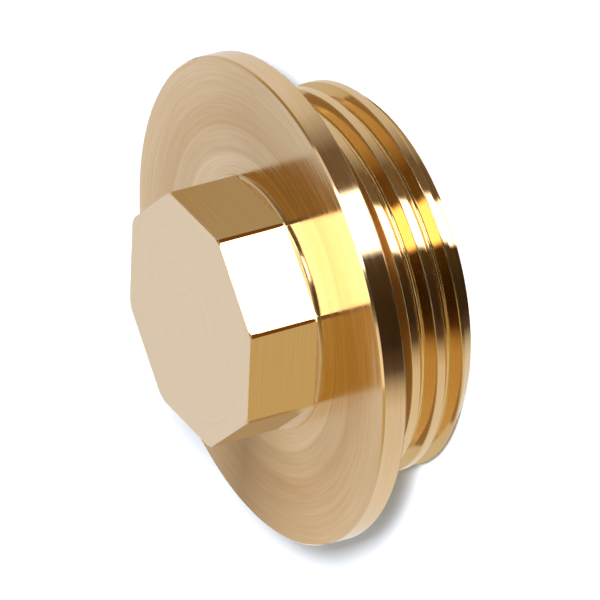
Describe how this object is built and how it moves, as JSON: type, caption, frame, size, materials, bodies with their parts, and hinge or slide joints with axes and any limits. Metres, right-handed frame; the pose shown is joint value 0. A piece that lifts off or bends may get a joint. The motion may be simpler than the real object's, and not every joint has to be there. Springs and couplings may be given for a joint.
{
  "type": "pipe plug",
  "caption": "Screw-in brass pipe plug with an octagonal spanner head, a wide round flange that presses on a seal, and a short male pipe thread.",
  "frame": {"origin": "centre of the flat threaded end, on which the plug stands", "axes": "+Z along the turning axis, from the threaded end to the head; +X through one corner of the octagon"},
  "size_m": [0.0408, 0.0408, 0.0176],
  "materials": {
    "brass": "bare turned brass, bright milled flats"
  },
  "bodies": {
    "root": {"plug_body": "brass"}
  },
  "joints": []
}
